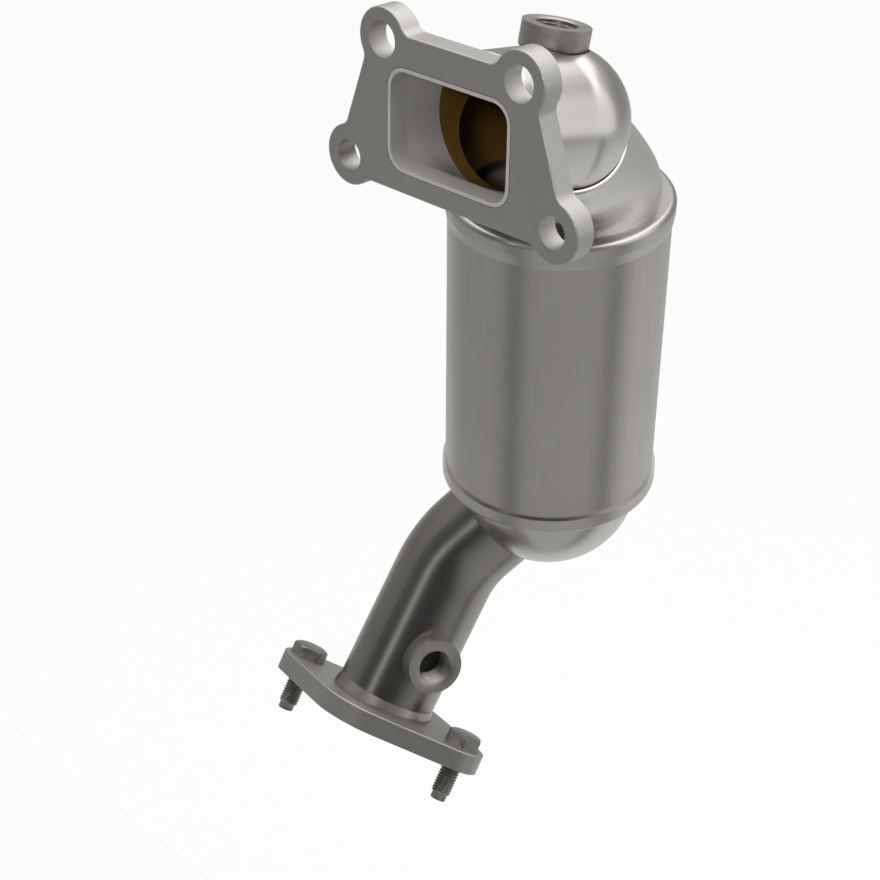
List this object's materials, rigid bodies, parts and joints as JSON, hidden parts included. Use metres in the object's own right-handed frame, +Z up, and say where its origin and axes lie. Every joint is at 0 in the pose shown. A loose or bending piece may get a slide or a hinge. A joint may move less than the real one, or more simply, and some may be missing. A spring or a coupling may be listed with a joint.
{
  "type": "catalytic converter",
  "caption": "Close-coupled catalytic converter: rectangular-port lobed flange, ball-shaped elbow, upright canister, bent outlet pipe, two-lobed flange with bolts and sensor bosses.",
  "frame": {"origin": "centre of the rectangular port on the inlet flange's mating face", "axes": "-Y out of the inlet face towards the engine, +X right and +Z up as seen from the engine, the canister standing along Z with a small lean"},
  "size_m": [0.228, 0.1978, 0.42],
  "materials": {
    "flange_steel": "satin, machined",
    "stainless_sheet": "pressed and rolled stainless sheet, satin",
    "bung_steel": "turned",
    "bolt_steel": "grey zinc",
    "ceramic_brick": "washcoated cordierite",
    "mat": "ceramic fibre mat",
    "mesh_seal": "knitted wire"
  },
  "bodies": {
    "root": {"inlet_flange": "flange_steel", "inlet_transition": "stainless_sheet", "inlet_dome": "stainless_sheet", "upper_sensor_bung": "bung_steel", "inlet_cone": "stainless_sheet", "upper_end_ring": "stainless_sheet", "canister_shell": "stainless_sheet", "front_substrate": "ceramic_brick", "rear_substrate": "ceramic_brick", "front_mat": "mat", "rear_mat": "mat", "front_mat_seal_upper": "mesh_seal", "front_mat_seal_lower": "mesh_seal", "rear_mat_seal_upper": "mesh_seal", "rear_mat_seal_lower": "mesh_seal", "lower_end_ring": "stainless_sheet", "outlet_bowl": "stainless_sheet", "outlet_pipe": "stainless_sheet", "lower_sensor_bung": "bung_steel", "outlet_flange": "flange_steel", "outlet_bolt_left": "bolt_steel", "outlet_bolt_right": "bolt_steel"}
  },
  "joints": []
}
